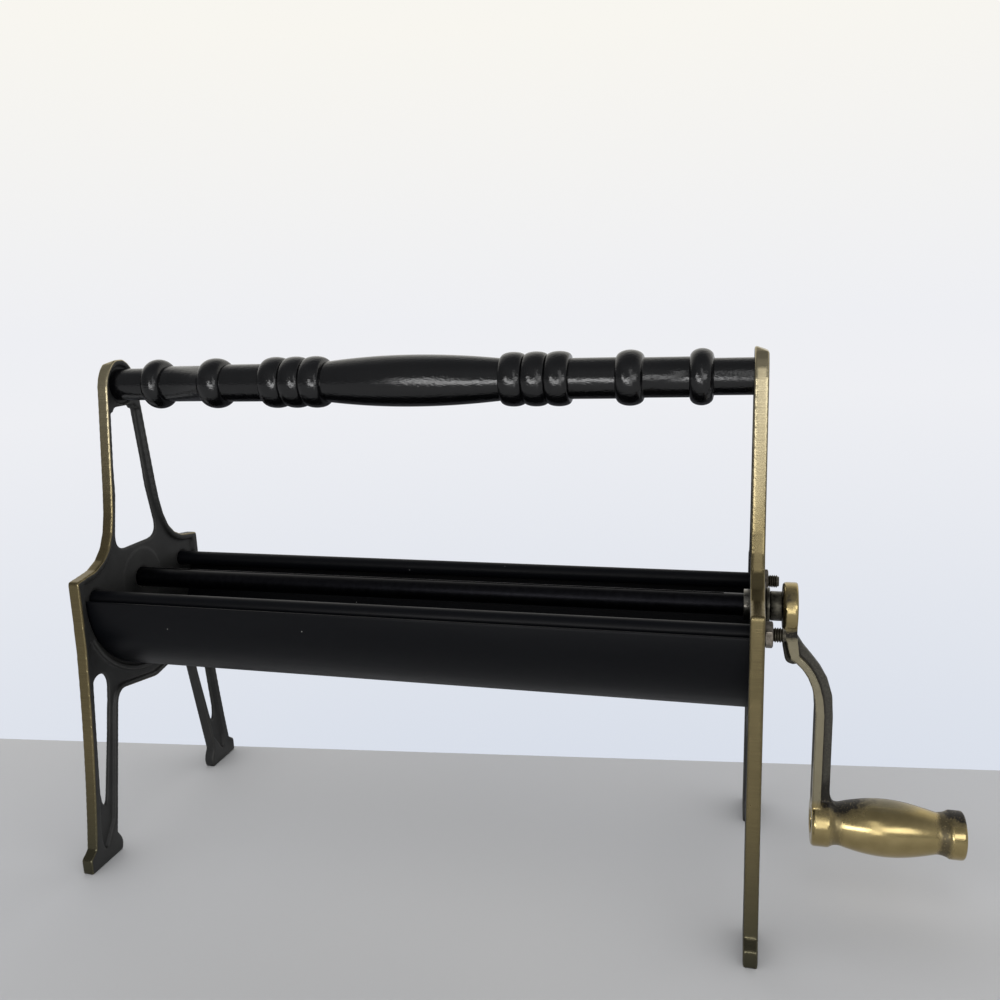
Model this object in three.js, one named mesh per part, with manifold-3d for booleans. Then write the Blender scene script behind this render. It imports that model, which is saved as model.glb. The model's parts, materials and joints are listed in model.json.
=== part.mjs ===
// Hand-cranked paper log roller: two cast end frames, a half-round trough, a forked winding
// spindle that pulls out with its crank, two clamping rods and a turned carrying handle.
// Millimetres. X runs along the spindle towards the crank, Y from front to back, Z up from
// the table. Everything is drawn with X = 0 midway between the end frames.
import * as THREE from "three";
import { mergeVertices } from "three/addons/utils/BufferGeometryUtils.js";
import Module from "manifold-3d";

const wasm = await Module();
wasm.setup();

// ---------------------------------------------------------------- driving dimensions
const fit = 0.3; // gap between two pieces that touch or slide

// End frames
const frameGap = 400; // between the inner faces of the two frames
const frameThickness = 7.75;
const rimWidth = 3.4; // raised rim round the outside of a frame
const innerRimWidth = 3.2; // raised rim along the inside of a leg and under the belly
const recessDepth = 2.5; // how far the web lies below the rims, on each face
const axisHeight = 172.5; // spindle, tie rods and centre of the trough
const handleRise = 131.4; // carrying handle above the spindle
const waistMargin = 2; // frame outside the ledge that holds the trough
const shoulderRise = 16.3; // top of the waist above the spindle
const sillRise = 24; // bottom of the upper window above the spindle
const bellyDrop = 9.2; // lowest point between the legs below the ledge
const footHalfSpread = 86.4; // from the middle to the tip of a toe
const footLength = 31;
const footHeight = 9.5;
const footInset = 5.9; // outside of the ankle from the tip of the toe
const ankleWidth = 21.8;
const crotchInset = 23.4; // inside of a leg's top from the side of the waist
const crotchDrop = 8.3; // and below the ledge
const armInset = 41.7; // foot of a window arm from the side of the waist
const ankleHeight = 14;
const eyeHalfWidth = 16.3;
const eyeTop = 16.8; // top of the frame above the handle's axis, at its inner face
const eyeTopFall = 3.1; // the top slopes down by this much to its outer face
const armWidth = 6.7; // each arm of the upper window: a rim outside and thin web inside
const socketRadius = 12.7; // shallow recess that takes an end of the handle

// Trough
const troughRadius = 59; // outside
const troughSheet = 1.6;
const troughRise = 1.2; // rim, and centre of the half-round, above the spindle's axis
const seatGap = 1; // slack of the trough inside the ledge
const ledgeWidth = 3.2; // ring on each frame that the trough's end sits in

// Tie rods and their nuts
const rodRadius = 5;
const rodInset = 11.2; // rod's axis inside the outer radius of the trough
const threadRadius = 3.95;
const threadReach = 10.75; // thread's end beyond the outer face of the frame
const threadChamfer = 0.7;
const counterboreDepth = 1.6;
const counterboreGap = 0.8; // round the rod
const nutAcrossFlats = 13;
const nutThickness = 4;
const padRadius = 9; // flat pad on the frame's outer face under a nut

// Spindle, bush and drive sleeve
const spindleRadius = 6.5;
const spindleSlot = 2; // width of the slot that grips the paper
const slotEndGap = 14; // solid shank between the slot and the right-hand frame
const squareAcross = 9.2; // squared end inside the crank
const squareLength = 4.8;
const bushWall = 1.3;
const flangeStep = 0.9; // bush flange beyond the bush's outside
const flangeReach = 2.8; // bush flange inside the plane of the right frame's inner face
const hubPadRadius = 20; // spot-faced pad round the bore, inside
const hubPadRise = 0.4;
const outerHubRadius = 14; // boss round the bore, outside
const outerHubRise = 1.35;
const ringWidth = 2.2;
const ringWall = 2.1;
const sleeveWall = 1.7;
const sleeveLength = 6.5;

// Crank
const crankThrow = 133.3; // spindle axis to grip axis
const hubRadius = 14;
const hubThickness = 8.2;
const hubBevel = 1.2;
const strapThickness = 5;
const strapHalfWidth = 7.5;
const ribThickness = 5;
const ribDepth = 5.2; // rib beyond the strap's outer face
const armOffset = 19.6; // back of the hub to the back of the straight part of the arm
const heelHalfWidth = 3.6; // swelling behind the neck of the arm
const bossRadius = 14.3;
const bossThickness = 10.9;
const bossBevel = 1.2;
const gripLength = 72.8; // boss face to the end of the collar
const gripRadius = 16.3;
const neckRadius = 12.4;
const endNeckRadius = 11.6;
const collarRadius = 13.7;
const collarThickness = 8.9;
const coreRadius = 7; // blind hole in the back of the grip
const coreDepth = 52;

// Carrying handle, its threaded inserts and screws
const endRadius = 10.3;
const outerNeckRadius = 11.35; // plain turning between the two single beads
const innerNeckRadius = 11.75; // and between a single bead and the triple one
const beadRadius = 15.85;
// Hand turning left the two halves of the handle slightly unlike. Places, from its middle, of
// the end of the swell, the inner single bead and the outer one:
const leftPlaces = [54.1, 130, 171.5];
const rightPlaces = [57.9, 132.5, 172.1];
const outerBeadWidth = 13;
const innerBeadWidth = 15.4;
const tripleRadius = 15.9;
const tripleDip = 13.5; // radius of the valleys in a triple bead
const tripleLength = 40.5;
const swellRadius = 15.57;
const swellEndRadius = 12.35;
const insertRadius = 4.7;
const insertLength = 16;
const screwRadius = 3;
const screwHeadRadius = 5.3;
const screwHeadHeight = 2.9;
const screwLength = 28; // with the countersunk head
const screwSink = 0.2; // heads lie this far below the surface
const crankScrewRadius = 2.5;
const crankScrewLength = 19;
const crankScrewHeadRadius = 5;
const crankScrewHeadDepth = 2.5;

// ---------------------------------------------------------------- worked out from those
const innerFace = frameGap / 2;
const outerFace = innerFace + frameThickness;
const webInner = innerFace + recessDepth; // inboard face of a frame's web
const handleHeight = axisHeight + handleRise;
const seatRadius = troughRadius + seatGap; // inside of the ledge
const ledgeRadius = seatRadius + ledgeWidth; // outside of the ledge
const waistHalf = ledgeRadius + waistMargin;
const shoulderHeight = axisHeight + shoulderRise;
const sillHeight = axisHeight + sillRise;
const bellyHeight = axisHeight - ledgeRadius - bellyDrop;
const rodOffset = troughRadius - rodInset;
const rodShoulder = webInner + counterboreDepth - fit;
const threadEnd = outerFace + threadReach;
const bushRadius = spindleRadius + fit + bushWall;
const boreRadius = bushRadius + fit; // bore of the right frame, which holds the bush
const plainBoreRadius = spindleRadius + fit; // bore of the left frame, which the spindle turns in
const flangeRadius = bushRadius + flangeStep;
const ringRadius = boreRadius + ringWall;
const sleeveRadius = spindleRadius + fit + sleeveWall;
const ringStart = outerFace + outerHubRise + fit;
const sleeveStart = ringStart + ringWidth + fit;
const hubStart = sleeveStart + sleeveLength + fit;
const hubEnd = hubStart + hubThickness;
const spindleLeft = outerFace - recessDepth;
const armStart = hubStart + armOffset; // back face of the straight part of the arm
const gripHeight = axisHeight - crankThrow;
const bossEnd = armStart + bossThickness;
const gripEnd = bossEnd + gripLength;
const handleEnd = webInner - fit;
const screwFace = outerFace - screwSink;

// ---------------------------------------------------------------- geometry helpers
const roundSides = 24;
const smallSides = 16;
const curveSteps = 6; // straight pieces in each curve of an outline

function solidOf(geometry) {
  const bare = geometry.clone();
  bare.deleteAttribute("normal");
  bare.deleteAttribute("uv");
  const merged = mergeVertices(bare, 1e-4);
  return new wasm.Manifold(
    new wasm.Mesh({
      numProp: 3,
      vertProperties: new Float32Array(merged.attributes.position.array),
      triVerts: new Uint32Array(merged.index.array),
    }),
  );
}

function geometryOf(solid) {
  const made = solid.getMesh();
  const geometry = new THREE.BufferGeometry();
  geometry.setAttribute("position", new THREE.BufferAttribute(made.vertProperties, 3));
  geometry.setIndex(new THREE.BufferAttribute(made.triVerts, 1));
  const faceted = geometry.toNonIndexed();
  faceted.computeVertexNormals();
  return faceted;
}

// A body of revolution about the X axis; its profile is a list of [x, radius].
function turned(profile, sides = roundSides) {
  const points = profile.map(([x, radius]) => new THREE.Vector2(radius, x));
  return new THREE.LatheGeometry(points, sides).rotateZ(-Math.PI / 2);
}

function disc(start, end, radius, sides = roundSides) {
  return turned([[start, 0], [start, radius], [end, radius], [end, 0]], sides);
}

// A flat outline drawn in Y and Z, thickened along X from start to end.
function plate(shape, start, end, curveSegments = curveSteps) {
  const depth = end - start;
  const geometry = new THREE.ExtrudeGeometry(shape, { depth, bevelEnabled: false, curveSegments });
  const cycle = new THREE.Matrix4().makeBasis(
    new THREE.Vector3(0, 1, 0),
    new THREE.Vector3(0, 0, 1),
    new THREE.Vector3(1, 0, 0),
  );
  return geometry.applyMatrix4(cycle).translate(start, 0, 0);
}

// A flat outline drawn in X and Z, thickened evenly both ways along Y.
function slab(shape, halfWidth, curveSegments = curveSteps) {
  const depth = 2 * halfWidth;
  const geometry = new THREE.ExtrudeGeometry(shape, { depth, bevelEnabled: false, curveSegments });
  return geometry.rotateX(Math.PI / 2).translate(0, halfWidth, 0);
}

// A closed outline that is the same on both sides of Y = 0, from its half with Y >= 0.
function mirrored(half, segments = curveSteps) {
  const right = half.getPoints(segments);
  const left = right
    .filter((p) => p.x > 1e-6)
    .map((p) => new THREE.Vector2(-p.x, p.y))
    .reverse();
  return new THREE.Shape([...right, ...left].reverse());
}

function reflected(shape, segments = curveSteps) {
  const points = shape.getPoints(segments).map((p) => new THREE.Vector2(-p.x, p.y));
  return new THREE.Shape(points.reverse());
}

function circle(radius, y, z, sides = roundSides) {
  const path = new THREE.Path();
  for (let i = 0; i < sides; i++) {
    const angle = (i * 2 * Math.PI) / sides;
    const px = y + radius * Math.cos(angle);
    const pz = z + radius * Math.sin(angle);
    if (i === 0) path.moveTo(px, pz);
    else path.lineTo(px, pz);
  }
  return new THREE.Shape(path.getPoints());
}

// ---------------------------------------------------------------- end frames
// Half-width of the leg's outer and inner edges at a height above the table.
const legTop = axisHeight - ledgeRadius; // where the legs leave the ledge
const ankleOuter = footHalfSpread - footInset;
const ankleInner = ankleOuter - ankleWidth;
const crotchInner = waistHalf - crotchInset;
const armFoot = waistHalf - armInset;

function legInner(z) {
  const share = (z - ankleHeight) / (legTop - crotchDrop - ankleHeight);
  return ankleInner + (crotchInner - ankleInner) * share;
}

function frameOutline() {
  const half = new THREE.Path();
  half.moveTo(0, handleHeight + eyeTop);
  half.bezierCurveTo(
    9, handleHeight + eyeTop,
    eyeHalfWidth, handleHeight + 7,
    eyeHalfWidth, handleHeight - 6,
  );
  half.lineTo(armFoot, shoulderHeight + 47.2);
  half.bezierCurveTo(
    armFoot + 3.5, shoulderHeight + 17.2,
    armFoot + 9.4, shoulderHeight + 1.3,
    waistHalf - 6.3, shoulderHeight,
  );
  half.lineTo(waistHalf - 1.6, shoulderHeight - 0.6);
  half.quadraticCurveTo(waistHalf, shoulderHeight - 0.8, waistHalf, shoulderHeight - 2.6);
  half.lineTo(waistHalf + 0.8, axisHeight - 28.5);
  half.quadraticCurveTo(waistHalf + 5.3, axisHeight - 97.5, ankleOuter, ankleHeight);
  half.lineTo(footHalfSpread - 0.5, footHeight + 0.6);
  half.lineTo(footHalfSpread, footHeight);
  half.lineTo(footHalfSpread, 0);
  half.lineTo(footHalfSpread - footLength + 0.6, 0);
  half.lineTo(footHalfSpread - footLength - 0.6, 5);
  half.quadraticCurveTo(footHalfSpread - footLength - 0.2, 9.5, ankleInner, ankleHeight);
  half.lineTo(legInner(legTop - crotchDrop - 4), legTop - crotchDrop - 4);
  half.quadraticCurveTo(crotchInner - 1, legTop - 3.3, crotchInner - 7.5, legTop - 3.5);
  half.lineTo(6, bellyHeight + 0.8);
  half.quadraticCurveTo(2, bellyHeight, 0, bellyHeight);
  return mirrored(half);
}

function upperWindow() {
  const half = new THREE.Path();
  const top = handleHeight - socketRadius - 1.2;
  half.moveTo(0, top);
  half.lineTo(8, top);
  half.quadraticCurveTo(11.6, top, 12.5, top - 5);
  half.lineTo(armFoot - armWidth - 0.4, shoulderHeight + 44.2);
  half.quadraticCurveTo(armFoot - 4.6, sillHeight + 24, armFoot - 1.8, sillHeight + 9.5);
  half.quadraticCurveTo(armFoot - 1.2, sillHeight + 0.6, armFoot - 10.5, sillHeight);
  half.lineTo(0, sillHeight);
  return mirrored(half);
}

function legSlot() {
  const slot = new THREE.Shape();
  slot.moveTo(waistHalf - 5.4, legTop + 9.7);
  slot.lineTo(waistHalf - 3.1, legTop - 13);
  slot.lineTo(footHalfSpread - 19.4, 46.4);
  slot.quadraticCurveTo(footHalfSpread - 19.6, 36.5, footHalfSpread - 22.6, 36.3);
  slot.quadraticCurveTo(footHalfSpread - 24.4, 36.6, footHalfSpread - 25.6, 42.5);
  slot.lineTo(legInner(97) + 6, 97);
  slot.lineTo(waistHalf - 19.2, legTop + 4);
  slot.quadraticCurveTo(waistHalf - 18.6, legTop + 13.2, waistHalf - 11.5, legTop + 13.5);
  slot.quadraticCurveTo(waistHalf - 6.4, legTop + 13.2, waistHalf - 5.4, legTop + 9.7);
  return slot;
}

// Recess inside the ledge and past the window up each arm, common to both faces: the sill and
// the inner half of each arm are plain web.
function waistRecess() {
  const half = new THREE.Path();
  const top = handleHeight - socketRadius - 4.2;
  half.moveTo(0, top);
  half.lineTo(eyeHalfWidth - rimWidth + 1.3, top);
  half.lineTo(armFoot - rimWidth, shoulderHeight + 47.2);
  half.bezierCurveTo(
    armFoot + 0.2, shoulderHeight + 16.4,
    armFoot + 8, shoulderHeight - rimWidth + 0.6,
    waistHalf - 9, shoulderHeight - rimWidth - 0.2,
  );
  half.quadraticCurveTo(seatRadius, shoulderHeight - rimWidth, seatRadius, shoulderHeight - 8);
  half.lineTo(seatRadius, axisHeight);
  half.absarc(0, axisHeight, seatRadius, 0, -Math.PI / 2, true);
  return mirrored(half, 12);
}

// Recess between the rims of a leg, from the middle of the belly, under the ledge, down to a
// point in the foot.
function legRecess() {
  const tip = axisHeight - 25;
  const start = Math.atan2(tip - axisHeight, waistHalf - rimWidth - 1.2);
  const end = -Math.PI / 2 - 0.01; // a little past the middle, to meet the other leg's recess
  const recess = new THREE.Shape();
  recess.moveTo(ledgeRadius * Math.cos(end), axisHeight + ledgeRadius * Math.sin(end));
  recess.absarc(0, axisHeight, ledgeRadius, end, start, false);
  recess.lineTo(waistHalf - rimWidth + 0.4, tip - 2);
  recess.quadraticCurveTo(
    waistHalf + 5.3 - rimWidth, axisHeight - 97.5,
    ankleOuter - rimWidth - 3.4, 21,
  );
  recess.quadraticCurveTo(footHalfSpread - 13.6, 8.4, footHalfSpread - 16.4, 9.4);
  recess.lineTo(legInner(24) + innerRimWidth, 24);
  recess.lineTo(legInner(legTop - 14) + innerRimWidth, legTop - 14);
  recess.quadraticCurveTo(
    crotchInner + 1.5, legTop + 0.4,
    crotchInner - 7.5, legTop - 3.5 + innerRimWidth,
  );
  recess.lineTo(6, bellyHeight + 0.8 + innerRimWidth);
  recess.lineTo(-1, bellyHeight + innerRimWidth);
  return recess;
}

// Hole and countersink for the screw that holds the carrying handle.
function screwHole() {
  const mouth = screwHeadRadius + fit;
  return turned([
    [innerFace, 0],
    [innerFace, screwRadius + fit],
    [screwFace - screwHeadHeight, screwRadius + fit],
    [screwFace, mouth],
    [outerFace + 1, mouth],
    [outerFace + 1, 0],
  ], smallSides);
}

// What slopes away above the eye, towards the outer face.
function eyeTopSlope() {
  const top = handleHeight + eyeTop;
  const drop = (eyeTopFall * (frameThickness + 1)) / frameThickness;
  const above = new THREE.Shape();
  above.moveTo(innerFace, top);
  above.lineTo(outerFace + 1, top - drop);
  above.lineTo(outerFace + 1, top + 1);
  above.lineTo(innerFace, top + 1);
  return slab(above, eyeHalfWidth + 1);
}

// One frame, drawn for the crank's end. Both ends are alike but for the bore on the spindle's axis:
// the other frame is turned half round.
function endFrame(bore) {
  const outline = frameOutline();
  outline.holes.push(upperWindow(), legSlot(), reflected(legSlot()));
  let frame = solidOf(plate(outline, innerFace, outerFace));

  const recesses = [waistRecess(), legRecess(), reflected(legRecess())];
  for (const shape of recesses) {
    const inside = plate(shape, innerFace - 1, innerFace + recessDepth);
    const outside = plate(shape, outerFace - recessDepth, outerFace + 1);
    frame = frame.subtract(solidOf(inside)).subtract(solidOf(outside));
  }

  const pads = [
    disc(webInner - hubPadRise, webInner + 1, hubPadRadius).translate(0, 0, axisHeight),
    disc(webInner + 1, outerFace + outerHubRise, outerHubRadius).translate(0, 0, axisHeight),
  ];
  for (const side of [-1, 1]) {
    const pad = disc(webInner + 1, outerFace, padRadius, smallSides);
    pads.push(pad.translate(0, side * rodOffset, axisHeight));
  }
  for (const pad of pads) frame = frame.add(solidOf(pad));

  const cuts = [
    disc(innerFace - 2, outerFace + 3, bore).translate(0, 0, axisHeight),
    eyeTopSlope(),
    disc(innerFace - 1, innerFace + recessDepth, socketRadius).translate(0, 0, handleHeight),
    screwHole().translate(0, 0, handleHeight),
  ];
  for (const side of [-1, 1]) {
    const floor = webInner + counterboreDepth;
    const counterbore = disc(innerFace - 1, floor, rodRadius + counterboreGap, smallSides);
    const hole = disc(floor - 1, outerFace + 1, threadRadius + fit, smallSides);
    cuts.push(counterbore.translate(0, side * rodOffset, axisHeight));
    cuts.push(hole.translate(0, side * rodOffset, axisHeight));
  }
  for (const cut of cuts) frame = frame.subtract(solidOf(cut));
  return geometryOf(frame);
}

// ---------------------------------------------------------------- trough, rods and nuts
function trough() {
  const rim = axisHeight + troughRise;
  const sheet = new THREE.Shape();
  sheet.absarc(0, rim, troughRadius, -Math.PI, 0, false);
  sheet.absarc(0, rim, troughRadius - troughSheet, 0, -Math.PI, true);
  const end = webInner - fit;
  return plate(sheet, -end, end, 24);
}

function tieRod() {
  const half = [
    [rodShoulder, rodRadius],
    [rodShoulder, threadRadius],
    [threadEnd - threadChamfer, threadRadius],
    [threadEnd, threadRadius - threadChamfer],
    [threadEnd, 0],
  ];
  const other = half.map(([x, radius]) => [-x, radius]).reverse();
  return turned([...other, ...half], smallSides);
}

// A thin hexagon nut with corners up and down, its inner face towards the frame.
function rodNut() {
  const hexagon = new THREE.Shape();
  const corner = nutAcrossFlats / Math.sqrt(3);
  for (let i = 0; i < 6; i++) {
    const angle = ((i + 0.5) * Math.PI) / 3;
    const point = [corner * Math.cos(angle), corner * Math.sin(angle)];
    if (i === 0) hexagon.moveTo(...point);
    else hexagon.lineTo(...point);
  }
  hexagon.holes.push(circle(threadRadius + fit, 0, 0, smallSides));
  return plate(hexagon, outerFace + fit, outerFace + fit + nutThickness);
}

// ---------------------------------------------------------------- carrying handle
// Half a wave of turning from one valley to the next, bulging to a given radius.
function bead(centre, width, radius, valley, steps = 5) {
  const points = [];
  for (let i = 0; i <= steps; i++) {
    const angle = (i * Math.PI) / steps;
    const x = centre - (width / 2) * Math.cos(angle);
    points.push([x, valley + (radius - valley) * Math.sin(angle)]);
  }
  return points;
}

// Half of the handle's profile, from its middle to one end.
function handleHalf([swellEnd, innerBead, outerBead]) {
  const swell = [];
  const swellSteps = 6;
  for (let i = 0; i < swellSteps; i++) {
    const share = i / swellSteps;
    const drop = (swellRadius - swellEndRadius) * share ** 2;
    swell.push([swellEnd * share, swellRadius - drop]);
  }
  const lobe = tripleLength / 3;
  const triple = [0.5, 1.5, 2.5].flatMap((place) =>
    bead(swellEnd + place * lobe, lobe, tripleRadius, tripleDip, 4),
  );
  const insertStart = handleEnd - insertLength - fit;
  const pilotStart = screwFace - screwLength - 1;
  return [
    ...swell,
    [swellEnd - 0.4, swellEndRadius],
    ...triple.filter((point, i) => i === 0 || point[0] - triple[i - 1][0] > 0.01),
    [swellEnd + tripleLength + 0.4, innerNeckRadius],
    ...bead(innerBead, innerBeadWidth, beadRadius, innerNeckRadius),
    [innerBead + innerBeadWidth / 2 + 0.4, outerNeckRadius],
    ...bead(outerBead, outerBeadWidth, beadRadius, outerNeckRadius),
    [outerBead + outerBeadWidth / 2 + 0.4, endRadius],
    [handleEnd, endRadius],
    [handleEnd, insertRadius + fit],
    [insertStart, insertRadius + fit],
    [insertStart, screwRadius + fit],
    [pilotStart, screwRadius + fit],
    [pilotStart, 0],
  ];
}

function carryHandle() {
  const left = handleHalf(leftPlaces).slice(1).map(([x, radius]) => [-x, radius]).reverse();
  return turned([...left, ...handleHalf(rightPlaces)]).translate(0, 0, handleHeight);
}

function handleScrew() {
  const tip = screwFace - screwLength;
  return turned([
    [tip, 0],
    [tip + 3, screwRadius],
    [screwFace - screwHeadHeight, screwRadius],
    [screwFace, screwHeadRadius],
    [screwFace, 0],
  ], smallSides);
}

// ---------------------------------------------------------------- spindle and bush
function box(x0, x1, halfY, halfZ) {
  const made = new THREE.BoxGeometry(x1 - x0, 2 * halfY, 2 * halfZ);
  return made.translate((x0 + x1) / 2, 0, 0);
}

function windingSpindle() {
  const shank = hubStart - fit;
  const end = hubStart + squareLength;
  const slotEnd = innerFace - slotEndGap;
  const half = squareAcross / 2;
  return geometryOf(
    solidOf(disc(-spindleLeft, shank, spindleRadius))
      .add(solidOf(box(shank - 1, end, half, half)))
      .subtract(solidOf(box(-spindleLeft - 1, slotEnd, spindleSlot / 2, spindleRadius + 1)))
      .subtract(solidOf(disc(end - crankScrewLength, end + 1, crankScrewRadius + fit, smallSides))),
  );
}

function spindleBush() {
  const start = innerFace - flangeReach;
  const seat = webInner - hubPadRise - fit;
  const end = ringStart + ringWidth;
  const bore = spindleRadius + fit;
  return turned([
    [start, bore],
    [start, flangeRadius - 0.5],
    [start + 0.5, flangeRadius],
    [seat, flangeRadius],
    [seat, bushRadius],
    [end, bushRadius],
    [end, bore],
    [start, bore],
  ]);
}

function collarRing(start, end, bore, radius, bevel) {
  return turned([
    [start, bore],
    [start, radius - bevel],
    [start + bevel, radius],
    [end - bevel, radius],
    [end, radius - bevel],
    [end, bore],
    [start, bore],
  ]);
}

// ---------------------------------------------------------------- crank
// The arm seen from the front: it leaves the hub, swings out in a tight S and runs straight down.
function crankStrap() {
  const back = armStart;
  const front = armStart + strapThickness;
  const straight = axisHeight - 61.5; // the S ends here
  const side = new THREE.Shape();
  side.moveTo(hubStart, axisHeight - 6);
  side.lineTo(hubStart, axisHeight - 11);
  side.lineTo(hubStart + 4.5, axisHeight - 29);
  side.bezierCurveTo(
    hubStart + 12.3, axisHeight - 33,
    back - 0.3, axisHeight - 43.5,
    back, straight,
  );
  side.lineTo(back, gripHeight + 6);
  side.lineTo(front, gripHeight + 6);
  side.lineTo(front, straight);
  side.bezierCurveTo(
    front - 0.7, axisHeight - 42.5,
    hubEnd + 7.6, axisHeight - 32,
    hubEnd + 1.7, axisHeight - 27.5,
  );
  side.lineTo(hubEnd, axisHeight - 14);
  side.lineTo(hubEnd, axisHeight - 6);

  const face = new THREE.Path();
  face.moveTo(0, axisHeight);
  face.lineTo(strapHalfWidth + 3, axisHeight);
  face.quadraticCurveTo(strapHalfWidth, axisHeight - 30, strapHalfWidth, axisHeight - 60);
  face.lineTo(strapHalfWidth, gripHeight);
  face.lineTo(0, gripHeight);
  const wide = solidOf(slab(side, strapHalfWidth + 6));
  return wide.intersect(solidOf(plate(mirrored(face), hubStart - 5, bossEnd + 5)));
}

// The rib that stands on the outer face of the strap, from the hub to the neck of the grip.
function crankRib() {
  const inner = armStart + strapThickness - 2;
  const outer = armStart + strapThickness + ribDepth;
  const straight = axisHeight - 65.5;
  const side = new THREE.Shape();
  side.moveTo(hubEnd - 2, axisHeight - 10);
  side.lineTo(hubEnd, axisHeight - 12);
  side.lineTo(hubEnd + 0.3, axisHeight - 16.5);
  side.bezierCurveTo(
    hubEnd + 6.1, axisHeight - 29,
    outer + 1, axisHeight - 35.5,
    outer, straight,
  );
  side.lineTo(outer, gripHeight + bossRadius + 8);
  side.quadraticCurveTo(outer, gripHeight + bossRadius, bossEnd + 3, gripHeight + neckRadius);
  side.lineTo(bossEnd + 3, gripHeight + neckRadius - 3);
  side.lineTo(inner, gripHeight + neckRadius - 3);
  side.lineTo(inner, straight);
  side.bezierCurveTo(
    inner - 1, axisHeight - 44,
    hubEnd + 5, axisHeight - 34,
    hubEnd - 1, axisHeight - 30,
  );
  return solidOf(slab(side, ribThickness / 2));
}

// A narrow swelling behind the neck, under the hub.
function crankHeel() {
  const side = new THREE.Shape();
  side.moveTo(hubStart + 0.5, axisHeight - 10);
  side.lineTo(hubStart + 0.5, axisHeight - 22.5);
  side.lineTo(hubStart + 1.9, axisHeight - 30);
  side.quadraticCurveTo(hubStart + 2.8, axisHeight - 33.6, hubStart + 7, axisHeight - 33.6);
  side.lineTo(hubStart + 10, axisHeight - 33);
  side.lineTo(hubEnd - 1, axisHeight - 14);
  return solidOf(slab(side, heelHalfWidth));
}

function gripProfile() {
  const swellStart = bossEnd + 5;
  const collarStart = gripEnd - collarThickness;
  const neckEnd = collarStart - 5.2;
  const swell = [];
  const steps = 9;
  for (let i = 0; i <= steps; i++) {
    const share = i / steps;
    const ends = neckRadius + (endNeckRadius - neckRadius) * share;
    const x = swellStart + (neckEnd - swellStart) * share;
    swell.push([x, ends + (gripRadius - ends) * Math.sin(Math.PI * share ** 0.9)]);
  }
  return [
    [armStart, 0],
    [armStart, bossRadius - bossBevel],
    [armStart + bossBevel, bossRadius],
    [bossEnd - 1, bossRadius],
    [bossEnd, bossRadius - 0.8],
    [bossEnd + 2.5, neckRadius],
    ...swell,
    [collarStart - 1.6, endNeckRadius + 0.6],
    [collarStart, collarRadius - 0.8],
    [collarStart + 1, collarRadius],
    [gripEnd - 1, collarRadius],
    [gripEnd, collarRadius - 1],
    [gripEnd, 0],
  ];
}

function crank() {
  const hub = turned([
    [hubStart, 0],
    [hubStart, hubRadius - hubBevel],
    [hubStart + hubBevel, hubRadius],
    [hubEnd - hubBevel / 2, hubRadius],
    [hubEnd, hubRadius - hubBevel / 2],
    [hubEnd, 0],
  ]).translate(0, 0, axisHeight);
  const square = squareAcross / 2 + fit;
  const squareEnd = hubStart + squareLength + fit;
  const countersink = turned([
    [squareEnd - 1, 0],
    [squareEnd - 1, crankScrewRadius + fit],
    [hubEnd - crankScrewHeadDepth, crankScrewRadius + fit],
    [hubEnd + fit, crankScrewHeadRadius + 2 * fit],
    [hubEnd + 1, crankScrewHeadRadius + 2 * fit],
    [hubEnd + 1, 0],
  ], smallSides);
  const core = turned([
    [armStart - 1, 0],
    [armStart - 1, coreRadius],
    [armStart + coreDepth, coreRadius],
    [armStart + coreDepth + 3, 0],
  ], smallSides);
  return geometryOf(
    solidOf(hub)
      .add(crankStrap())
      .add(crankRib())
      .add(crankHeel())
      .add(solidOf(turned(gripProfile()).translate(0, 0, gripHeight)))
      .subtract(solidOf(core.translate(0, 0, gripHeight)))
      .subtract(solidOf(box(hubStart - 1, squareEnd, square, square).translate(0, 0, axisHeight)))
      .subtract(solidOf(countersink.translate(0, 0, axisHeight))),
  );
}

function crankScrew() {
  const head = hubEnd - screwSink;
  const tip = hubStart + squareLength - crankScrewLength + 2;
  return turned([
    [tip, 0],
    [tip + 1, crankScrewRadius],
    [head - crankScrewHeadDepth, crankScrewRadius],
    [head, crankScrewHeadRadius],
    [head, 0],
  ], smallSides);
}

// ---------------------------------------------------------------- materials
function metal(colour, roughness) {
  return new THREE.MeshStandardMaterial({ color: colour, roughness, metalness: 1 });
}

const agedBrass = metal("#8d7b52", 0.42);
const rubbedBrass = metal("#a8905a", 0.35);
const darkSteel = metal("#3a3a3c", 0.5);
const greySteel = metal("#8b8a88", 0.4);
const boltSteel = metal("#6e6a63", 0.5);
const insertBrass = metal("#a58a4c", 0.4);
const blackPaint = new THREE.MeshStandardMaterial({ color: "#141416", roughness: 0.4 });
const blackLacquer = new THREE.MeshStandardMaterial({ color: "#0c0c0d", roughness: 0.15 });

// ---------------------------------------------------------------- assembly
const roller = new THREE.Group();

function place(name, geometry, material, parent = roller) {
  const mesh = new THREE.Mesh(geometry, material);
  mesh.name = name;
  parent.add(mesh);
  return mesh;
}

// The two ends carry the same pieces; the left end is the right end turned half round.
for (const [label, turn] of [["left", Math.PI], ["right", 0]]) {
  const end = new THREE.Group();
  end.rotation.z = turn;
  roller.add(end);
  const bore = label === "left" ? plainBoreRadius : boreRadius;
  place(`end_frame_${label}`, endFrame(bore), agedBrass, end);
  const insert = collarRing(handleEnd - insertLength, handleEnd, screwRadius + fit, insertRadius, 0.4);
  place(`handle_insert_${label}`, insert.translate(0, 0, handleHeight), insertBrass, end);
  place(`handle_screw_${label}`, handleScrew().translate(0, 0, handleHeight), boltSteel, end);
}

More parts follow.
